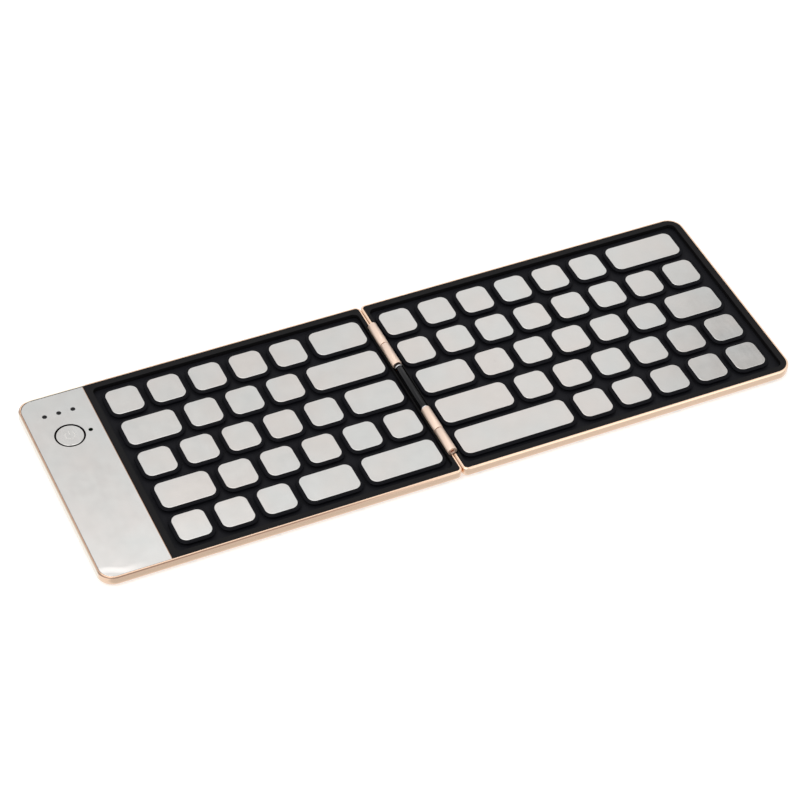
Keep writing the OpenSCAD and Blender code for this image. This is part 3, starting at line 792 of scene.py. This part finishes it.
class MeshMaker:
    """Collects vertices and faces, and makes one object of them."""

    SHARP_ANGLE: ClassVar[float] = 30.0

    def __init__(self) -> None:
        """Starts empty."""
        self.points: list[Vector] = []
        self.faces: list[list[int]] = []

    def skin(self, rings: Sequence[Sequence[Vector]]) -> None:
        """Skins rings of as many points each with quads, and caps the first and the last.

        Args:
            rings: the rings in order, each counter-clockwise as seen from the next.
        """
        numbered = []
        for ring in rings:
            first = len(self.points)
            self.points.extend(ring)
            numbered.append(list(range(first, first + len(ring))))
        for lower, upper in zip(numbered, numbered[1:]):
            for i in range(len(lower)):
                j = (i + 1) % len(lower)
                self.faces.append([lower[i], lower[j], upper[j], upper[i]])
        self.faces += [numbered[0][::-1], numbered[-1]]

    def loft(self, outline: Outline, section: Section) -> None:
        """Carries a section round an outline.

        Args:
            outline: the plan shape.
            section: (inset, height) of each ring, from the underside, outwards and up, to the top.
        """
        self.skin([outline.ring(inset, z) for inset, z in section])

    def revolve(self, centre: Point, section: Section, steps: int) -> None:
        """Turns a section about an upright axis.

        Args:
            centre: a point on the axis, in millimetres.
            section: (radius, height over the point) of each ring, from the bottom up.
            steps: the number of pieces in a turn.
        """
        turns = [math.tau * step / steps for step in range(steps)]
        self.skin([
            [round_from(centre, radius, turn, up) for turn in turns] for radius, up in section
        ])

    def make(self, name: str) -> bpy.types.Object:
        """Makes the object, with edges sharper than SHARP_ANGLE degrees left sharp.

        Args:
            name: its name.

        Returns:
            The new object, without a finish.
        """
        mesh = bpy.data.meshes.new(name)
        mesh.from_pydata([tuple(point) for point in self.points], [], self.faces)
        mesh.validate()
        mesh.shade_smooth()
        mesh.set_sharp_from_angle(angle=math.radians(self.SHARP_ANGLE))
        made = bpy.data.objects.new(name, mesh)
        bpy.context.scene.collection.objects.link(made)
        return made


# Pieces and the CAD nodes that are kept


@dataclass
class Piece:
    """A mesh of the looks.

    Attributes:
        made, tone: the object and its finish.
        body: the body that it rides on.
        node: the CAD node whose place it takes, if any.
        slot: its kind of material; not used.
    """

    made: bpy.types.Object
    tone: Tone
    body: str
    node: str | None
    slot: str

    def settle(self) -> None:
        """Puts the piece on its body and takes its node's place."""
        if self.node:
            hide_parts(self.node)
        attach(self.made, self.body)
        LOG.info("piece %s rides on %s", self.made.name, self.body)

    def dress(self) -> None:
        """Gives the piece its finish."""
        self.made.data.materials.append(self.tone.material)
        LOG.info("piece %s wears %s", self.made.name, self.tone.value.name)


@dataclass
class KeptNodes:
    """CAD nodes that stay in sight, with their finish.

    Attributes:
        tone, nodes: their finish and their names.
        edge: width in millimetres of the round on their edges, or 0 for none.
    """

    tone: Tone
    nodes: tuple[str, ...]
    edge: float = 0.0
    WELD: ClassVar[float] = 0.002
    SHARP_ANGLE: ClassVar[float] = 35.0
    SEGMENTS: ClassVar[int] = 2

    def dress(self) -> None:
        """Gives each node its finish and rounds its edges."""
        for name in self.nodes:
            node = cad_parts[name]
            node.data.materials.clear()
            node.data.materials.append(self.tone.material)
            if self.edge:
                self._round_edges(node)
            LOG.info("node %s wears %s", name, self.tone.value.name)

    def _round_edges(self, node: bpy.types.Object) -> None:
        """Rounds the sharp edges with modifiers, which leave the node's own mesh alone.

        Args:
            node: the node's object.
        """
        weld = node.modifiers.new("weld", "WELD")
        weld.merge_threshold = self.WELD * MM
        bevel = node.modifiers.new("edge_round", "BEVEL")
        bevel.width = self.edge * MM
        bevel.segments = self.SEGMENTS
        bevel.limit_method = "ANGLE"
        bevel.angle_limit = math.radians(self.SHARP_ANGLE)
        bevel.harden_normals = True


# Sub-assemblies, with their sizes in millimetres


@dataclass
class SubAssembly:
    """A group of pieces that is built and dressed as one.

    Attributes:
        pieces: the meshes that it has built.
    """

    pieces: list[Piece] = field(init=False, default_factory=list)

    def build(self) -> None:
        """Builds the group's own meshes. A group that keeps all its CAD nodes has none."""

    def kept(self) -> list[KeptNodes]:
        """The CAD nodes that the group keeps in sight."""
        return []

    def dress(self) -> None:
        """Gives every mesh and every kept node its finish."""
        for part in (*self.kept(), *self.pieces):
            part.dress()

    def add(self, piece: Piece) -> None:
        """Puts a piece in its place and keeps it."""
        piece.settle()
        self.pieces.append(piece)


@dataclass
class KeyField(SubAssembly):
    """The keys of one half: rows of black caps with a polished plate let into each.

    Attributes:
        side, left: the half, left or right, and the left end of its rows.
        rows: each row's key widths, as multiples of the pitch, from the back row on.
        apart: the keys, as (row, place in it), that have a body of their own.
        home: the key with the locating bump.
        pitch_x, pitch_y: distance between keys of a row, and between rows.
        plate_w, plate_d, plate_r: width, depth and corner radius of a single plate.
        plate_bevel: round on its upper edge.
        plate_under, plate_over: how far its flat rims go in below, and above from the bevel.
        reach: how far a cap's foot stands out from the plate.
        lip: width of the flat lip round the plate.
        band, foot_bevel, foot_under: height of the cap's upright foot, its bevel and its rim below.
        seat_gap, seat_ledge: how far the plate's seat lies outside it, and the seat's width.
        skirt_steps, bevel_steps: pieces in the curves of the cap's skirt and the plate's bevel.
        bump, bump_steps: the locating bump's (radius, height) pairs, and pieces in a turn.
    """

    side: str
    left: float
    rows: Sequence[Sequence[float]]
    apart: Mapping[Key, str]
    home: Key
    pitch_x: float = 17.5
    pitch_y: float = 18.0
    plate_w: float = 13.3
    plate_d: float = 13.6
    plate_r: float = 3.1
    plate_bevel: float = 0.12
    plate_under: float = 0.3
    plate_over: float = 0.1
    reach: float = 1.4
    lip: float = 0.4
    band: float = 0.25
    foot_bevel: float = 0.06
    foot_under: float = 0.5
    seat_gap: float = 0.05
    seat_ledge: float = 0.3
    skirt_steps: int = 6
    bevel_steps: int = 3
    bump: Section = ((0.5, -0.02), (0.48, 0.05), (0.35, 0.1), (0.1, 0.12))
    bump_steps: int = 20
    ROWS: ClassVar[tuple[str, ...]] = ("number", "upper", "home", "lower", "bottom")

    def __post_init__(self) -> None:
        """Reads the heights of caps and plates from the frame."""
        cap_low, cap_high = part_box("enter_cap")
        plate_low, plate_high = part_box("enter_plate")
        self.cap_z, self.cap_top = cap_low.z / MM, cap_high.z / MM
        self.plate_z, self.key_top = plate_low.z / MM, plate_high.z / MM

    def outline(self, key: Key, grow: float = 0.0) -> Outline:
        """The plan of a key's plate, made larger by grow.

        Args:
            key: the key's row and its place in the row.
            grow: how far the outline is moved out.

        Returns:
            The outline.
        """
        row, place = key
        widths = self.rows[row]
        x = self.left + (sum(widths[:place]) + widths[place] / 2) * self.pitch_x
        y = (len(self.ROWS) // 2 - row) * self.pitch_y
        half_w = (self.plate_w + (widths[place] - 1) * self.pitch_x) / 2 + grow
        half_d = self.plate_d / 2 + grow
        return Outline(x - half_w, x + half_w, y - half_d, y + half_d, self.plate_r + grow)

    def cap_section(self) -> Section:
        """The cap's edge: an upright foot, a rounded skirt, a lip and the seat of the plate.

        Returns:
            (inset, height) of each ring.
        """
        seat = self.reach - self.seat_gap
        return [
            (self.foot_under, self.cap_z),
            (self.foot_bevel, self.cap_z),
            (0.0, self.cap_z + self.foot_bevel),
            *quarter(
                self.reach - self.lip, self.cap_z + self.band, self.cap_top, self.skirt_steps
            ),
            (seat, self.cap_top),
            (seat, self.plate_z),
            (seat + self.seat_ledge, self.plate_z),
        ]

    def plate_section(self) -> Section:
        """The plate's edge: upright, then a rounded bevel.

        Returns:
            (inset, height) of each ring.
        """
        return [
            (self.plate_under, self.plate_z),
            (0.0, self.plate_z),
            *quarter(
                self.plate_bevel, self.key_top - self.plate_bevel, self.key_top, self.bevel_steps
            ),
            (self.plate_bevel + self.plate_over, self.key_top),
        ]

    def bodies(self) -> dict[str, list[Key]]:
        """Sorts the keys into bodies: a row moves as one, apart from keys that move alone.

        Returns:
            The keys of each body.
        """
        bodies: dict[str, list[Key]] = {}
        for row, widths in enumerate(self.rows):
            for place in range(len(widths)):
                body = self.apart.get((row, place), f"{self.side}_{self.ROWS[row]}_row")
                bodies.setdefault(body, []).append((row, place))
        return bodies

    def build(self) -> None:
        """Builds the caps and plates of every body."""
        for body, keys in self.bodies().items():
            plural = "s" if body.endswith("_row") else ""
            for part, look, tone, maker in (
                ("cap", "moulded", Tone.KEY_CAP, self.caps(keys)),
                ("plate", "polished", Tone.KEY_PLATE, self.plates(keys)),
            ):
                node = f"{body}_{part}{plural}"
                self.add(Piece(maker.make(f"{node}_{look}"), tone, body, node, f"key_{part}"))

    def caps(self, keys: Sequence[Key]) -> MeshMaker:
        """Builds the caps of some keys.

        Args:
            keys: the keys.

        Returns:
            Their mesh.
        """
        maker = MeshMaker()
        for key in keys:
            maker.loft(self.outline(key, self.reach), self.cap_section())
        return maker

    def plates(self, keys: Sequence[Key]) -> MeshMaker:
        """Builds the plates of some keys, with the locating bump on the home key.

        Args:
            keys: the keys.

        Returns:
            Their mesh.
        """
        maker = MeshMaker()
        for key in keys:
            outline = self.outline(key)
            maker.loft(outline, self.plate_section())
            if key == self.home:
                maker.revolve((*outline.middle, self.key_top), self.bump, self.bump_steps)
        return maker


def left_keys() -> KeyField:
    """The keys of the left half.

    Returns:
        The field, not built yet.
    """
    return KeyField(
        side="left",
        left=-116.25,
        rows=(
            (1, 1, 1, 1, 1, 1.5),
            (1.5, 1, 1, 1, 2),
            (1, 1, 1, 1, 1, 1.5),
            (1.5, 1, 1, 1, 1, 1),
            (1, 1, 1, 1.5, 2),
        ),
        apart={(4, 4): "left_space"},
        home=(2, 4),
    )


def right_keys() -> KeyField:
    """The keys of the right half.

    Returns:
        The field, not built yet.
    """
    return KeyField(
        side="right",
        left=2.5,
        rows=(
            (1, 1, 1, 1, 1, 1, 2),
            (1, 1, 1, 1, 1, 1, 1, 1),
            (1.5, 1, 1, 1, 1, 1, 1.5),
            (2, 1, 1, 1, 1, 1, 1),
            (3, 1, 1, 1, 1, 1),
        ),
        apart={(0, 6): "backspace", (2, 6): "enter", (4, 0): "right_space"},
        home=(2, 1),
    )


@dataclass
class ControlPad(SubAssembly):
    """The polished pad cover with its button, lenses and pinhole.

    Attributes:
        edge: round on the metal's edges.
        ring_in, ring_out: radii of the power mark's broken circle.
        ring_gap, ring_steps: half its open angle in degrees, and its pieces.
        bar, bar_from, bar_to: half the bar's width, and its ends behind the button's middle.
        bar_steps: pieces in each of its corners.
        thick: how far the mark stands over the button.
    """

    edge: float = 0.05
    ring_in: float = 1.75
    ring_out: float = 2.15
    ring_gap: float = 38.0
    ring_steps: int = 40
    bar: float = 0.2
    bar_from: float = 0.3
    bar_to: float = 2.4
    bar_steps: int = 3
    thick: float = 0.015

    def kept(self) -> list[KeptNodes]:
        """The pad's cover, button and lenses.

        Returns:
            The nodes of each finish.
        """
        return [
            KeptNodes(Tone.PAD, ("pad_cover", "power_button_cap"), self.edge),
            KeptNodes(Tone.BUTTON, ("power_button",)),
            KeptNodes(Tone.LENS, ("status_lenses",)),
        ]

    def build(self) -> None:
        """Builds the power mark, a broken circle with a bar, lying on the button."""
        low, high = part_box("power_button_cap")
        x, y, z = (low.x + high.x) / 2 / MM, (low.y + high.y) / 2 / MM, high.z / MM
        inner, outer, thick = self.ring_in, self.ring_out, self.thick
        profile = ((inner, -thick), (inner, thick), (outer, thick), (outer, -thick))
        start, sweep = 90 + self.ring_gap, 360 - 2 * self.ring_gap
        turns = [
            math.radians(start + sweep * step / self.ring_steps)
            for step in range(self.ring_steps + 1)
        ]
        maker = MeshMaker()
        maker.skin([
            [round_from((x, y, z), radius, turn, up) for radius, up in profile] for turn in turns
        ])
        bar = Outline(
            x - self.bar, x + self.bar, y + self.bar_from, y + self.bar_to,
            radius=self.bar / 2, steps=self.bar_steps,
        )
        maker.loft(bar, [(0.0, z - thick), (0.0, z + thick)])
        mark = maker.make("power_mark")
        self.add(Piece(mark, Tone.MARK, "power_button", None, "button_metal"))


@dataclass
class Hinges(SubAssembly):
    """The two barrels, the tube between them, its rings and the cable inside.

    Attributes:
        edge, fine_edge: round on the knuckles and pins, and on the tube and rings.
    """

    edge: float = 0.12
    fine_edge: float = 0.05

    def kept(self) -> list[KeptNodes]:
        """The leaves, pins, tube, rings and cable leads.

        Returns:
            The nodes of each finish.
        """
        ends = ("rear", "front")
        leaves = tuple(f"{end}_hinge_{side}_leaf" for end in ends for side in ("left", "right"))
        return [
            KeptNodes(Tone.HINGE, leaves, self.edge),
            KeptNodes(Tone.PIN, tuple(f"{end}_hinge_pin" for end in ends), self.edge),
            KeptNodes(Tone.TUBE, ("cable_tube",), self.fine_edge),
            KeptNodes(Tone.RING, ("tube_rings",), self.fine_edge),
            KeptNodes(Tone.TUBE, ("left_cable_lead", "right_cable_lead")),
        ]


@dataclass
class Trays(SubAssembly):
    """The two metal trays, their black borders, and what lies under the keys.

    Attributes:
        tray_edge, border_edge, foot_edge, cell_edge: round on the edges of each.
    """

    tray_edge: float = 0.1
    border_edge: float = 0.2
    foot_edge: float = 0.15
    cell_edge: float = 0.2

    def kept(self) -> list[KeptNodes]:
        """Everything but the keys, the pad and the hinges.

        Returns:
            The nodes of each finish.
        """
        return [
            KeptNodes(Tone.TRAY, ("left_case", "right_case"), self.tray_edge),
            KeptNodes(Tone.FRAME, ("left_deck_frame", "right_deck_frame"), self.border_edge),
            KeptNodes(Tone.MAT, ("left_dome_mat", "right_dome_mat")),
            KeptNodes(Tone.FILM, ("left_switch_sheet", "right_switch_sheet")),
            KeptNodes(
                Tone.STEEL, ("left_backing_plate", "right_backing_plate", "charging_socket")
            ),
            KeptNodes(Tone.RUBBER, ("left_feet", "right_feet"), self.foot_edge),
            KeptNodes(Tone.SCREW, ("left_screws", "right_screws")),
            KeptNodes(Tone.BOARD, ("controller_board",)),
            KeptNodes(Tone.FRAME, ("power_switch",)),
            KeptNodes(Tone.FOIL, ("battery",), self.cell_edge),
        ]


# Camera, floor and light


@dataclass(frozen=True)
class LightPatch:
    """A soft round patch of more or less light that reflections see in the sky.

    Attributes:
        toward, radius: the direction of its middle, and its radius in degrees.
        gain: the light that it adds in the middle.
    """

    toward: Point
    radius: float
    gain: float

    def level(self, graph: Graph, direction: Wire) -> Wire:
        """The patch's light, full in its middle and 0 beyond its radius.

        Args:
            graph: the world's nodes.
            direction: the direction that is looked in.

        Returns:
            The light to add.
        """
        middle = tuple(Vector(self.toward).normalized())
        inputs = {0: direction, 1: middle}
        facing = graph.add("ShaderNodeVectorMath", {"operation": "DOT_PRODUCT"}, inputs, "Value")
        angle = graph.add("ShaderNodeMath", {"operation": "ARCCOSINE"}, {0: facing})
        return angle.smooth(math.radians(self.radius), 0.0) * self.gain


@dataclass(frozen=True)
class SoftLamp:
    """A square soft lamp that points at the middle of the keyboard.

    Attributes:
        name, place: its name, and where it stands in metres.
        size, power: its side in metres, and its power in watts.
    """

    name: str
    place: Point
    size: float
    power: float

    def build(self) -> None:
        """Adds the lamp to the scene."""
        light = bpy.data.lights.new(self.name, "AREA")
        light.shape = "SQUARE"
        light.size = self.size
        light.energy = self.power
        lamp = bpy.data.objects.new(self.name, light)
        lamp.location = self.place
        lamp.rotation_euler = (-Vector(self.place)).to_track_quat("-Z", "Y").to_euler()
        bpy.context.scene.collection.objects.link(lamp)


@dataclass
class Studio:
    """Camera, floor, world and lamps.

    Attributes:
        camera_at, camera_turn: the camera's place in millimetres and turns in degrees.
        focal_px, picture_px: its focal length and the picture's side, in pixels.
        sensor, clip: its sensor's width in millimetres, and the distances that it sees in metres.
        floor_size: the floor's side in metres.
        floor_plain, floor_seen: its grey for bounced light and for the camera.
        floor_glow: the light of its own that the camera sees, which makes it white.
        front_floor: its level in reflections in front of the keyboard, at the left and the right.
        side_floor: its level in reflections beside and behind the keyboard.
        fade, front_gap: how wide their border is in millimetres, and how far it is from the front.
        sky, sky_soft: the sky's level in reflections and for bounced light.
        patches: what lies on the sky in reflections.
        lamps: the lamps.
    """

    camera_at: Point = (-344.97, -673.03, 756.02)
    camera_turn: Point = (44.868, -2.234, -24.618)
    focal_px: float = 2668.1
    picture_px: float = 800.0
    sensor: float = 36.0
    clip: Span = (0.05, 50.0)
    floor_size: float = 6.0
    floor_plain: float = 0.8
    floor_seen: float = 0.9
    floor_glow: float = 0.35
    front_floor: Span = (0.66, 0.8)
    side_floor: float = 0.97
    fade: float = 2.0
    front_gap: float = 0.5
    sky: float = 0.99
    sky_soft: float = 0.7
    patches: Sequence[LightPatch] = (
        LightPatch((0.167, 0.484, 0.859), 14.0, 2.0),
        LightPatch((0.446, 0.581, 0.681), 3.4, -0.58),
        LightPatch((0.38, 0.615, 0.69), 8.5, 0.17),
        LightPatch((0.79, 0.61, 0.1), 30.0, -0.9),
    )
    lamps: Sequence[SoftLamp] = (
        SoftLamp("key_lamp", (-0.9, -0.5, 1.5), 1.2, 9.0),
        SoftLamp("fill_lamp", (1.0, -0.9, 1.3), 1.4, 4.0),
    )

    def __post_init__(self) -> None:
        """Reads the keyboard's box, before the floor is there."""
        self.low, self.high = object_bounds()

    def build(self) -> None:
        """Builds the whole studio."""
        self._camera()
        self._floor()
        self._world()
        for lamp in self.lamps:
            lamp.build()
        bpy.context.scene.view_settings.view_transform = "Standard"

    def _camera(self) -> None:
        """Sets the photograph's camera."""
        camera = bpy.data.cameras.new("camera")
        camera.sensor_width = self.sensor
        camera.lens = self.sensor * self.focal_px / self.picture_px
        camera.clip_start, camera.clip_end = self.clip
        holder = bpy.data.objects.new("camera", camera)
        holder.location = at(*self.camera_at)
        holder.rotation_euler = Euler([math.radians(turn) for turn in self.camera_turn])
        bpy.context.scene.collection.objects.link(holder)
        bpy.context.scene.camera = holder

    def _floor(self) -> None:
        """A white floor that keeps the object's shadow."""
        mesh = bpy.data.meshes.new("floor")
        half = self.floor_size / 2
        points = [(-half, -half, 0), (half, -half, 0), (half, half, 0), (-half, half, 0)]
        mesh.from_pydata(points, [], [[0, 1, 2, 3]])
        mesh.materials.append(self._floor_material())
        floor = bpy.data.objects.new("floor", mesh)
        bpy.context.scene.collection.objects.link(floor)
        floor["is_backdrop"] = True

    def _floor_material(self) -> bpy.types.Material:
        """White to the eye, plain to bounced light, and a lit table in reflections.

        Returns:
            The material.
        """
        material = bpy.data.materials.new("studio_floor")
        material.use_nodes = True
        graph = Graph(material.node_tree)
        plain, white = (
            graph.add("ShaderNodeBsdfDiffuse", {}, {"Color": (grey, grey, grey, 1.0)})
            for grey in (self.floor_plain, self.floor_seen)
        )
        glow = graph.add("ShaderNodeEmission", {}, {"Strength": self.floor_glow})
        lit = graph.add("ShaderNodeAddShader", {}, {0: white, 1: glow})
        table = graph.add("ShaderNodeEmission", {}, {"Strength": self._table_level(graph)})
        direct = graph.add("ShaderNodeMixShader", {}, {0: graph.seen(), 1: plain, 2: lit})
        surface = graph.add("ShaderNodeMixShader", {}, {0: graph.mirrored(), 1: direct, 2: table})
        graph.add("ShaderNodeOutputMaterial", {}, {"Surface": surface})
        return material

    def _table_level(self, graph: Graph) -> Wire:
        """How light the table is in reflections: full beside the keyboard, lower in front of it.

        Args:
            graph: the floor's nodes.

        Returns:
            The level.
        """
        place = graph.place()
        x, y = place.part("X"), place.part("Y")
        left, right = self.front_floor
        fade, gap = self.fade * MM, self.front_gap * MM
        front = x.smooth(self.low.x, self.high.x) * (right - left) + left
        beside = x.smooth(self.low.x, self.low.x - fade)
        behind = y.smooth(self.low.y - gap - fade, self.low.y - gap)
        full = (beside + behind).clamped()
        return full * self.side_floor + (1.0 - full) * front

    def _world(self) -> None:
        """White for the eye, a patched sky for reflections, a softer light for all the rest."""
        world = bpy.data.worlds.new("studio")
        world.use_nodes = True
        bpy.context.scene.world = world
        graph = Graph(world.node_tree)
        direction = graph.share()
        level = sum((patch.level(graph, direction) for patch in self.patches), start=self.sky)
        soft, mirror, white = (
            graph.add("ShaderNodeBackground", {}, {"Color": WHITE, "Strength": light})
            for light in (self.sky_soft, level, 1.0)
        )
        unseen = graph.add("ShaderNodeMixShader", {}, {0: graph.mirrored(), 1: soft, 2: mirror})
        final = graph.add("ShaderNodeMixShader", {}, {0: graph.seen(), 1: unseen, 2: white})
        graph.add("ShaderNodeOutputWorld", {}, {"Surface": final})


def main() -> None:
    """Builds the studio and every sub-assembly."""
    logging.basicConfig(level=logging.INFO, format="%(name)s: %(message)s")
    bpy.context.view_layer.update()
    Studio().build()
    for group in (Trays(), left_keys(), right_keys(), ControlPad(), Hinges()):
        group.build()
        group.dress()


if __name__ == "__main__":
    main()
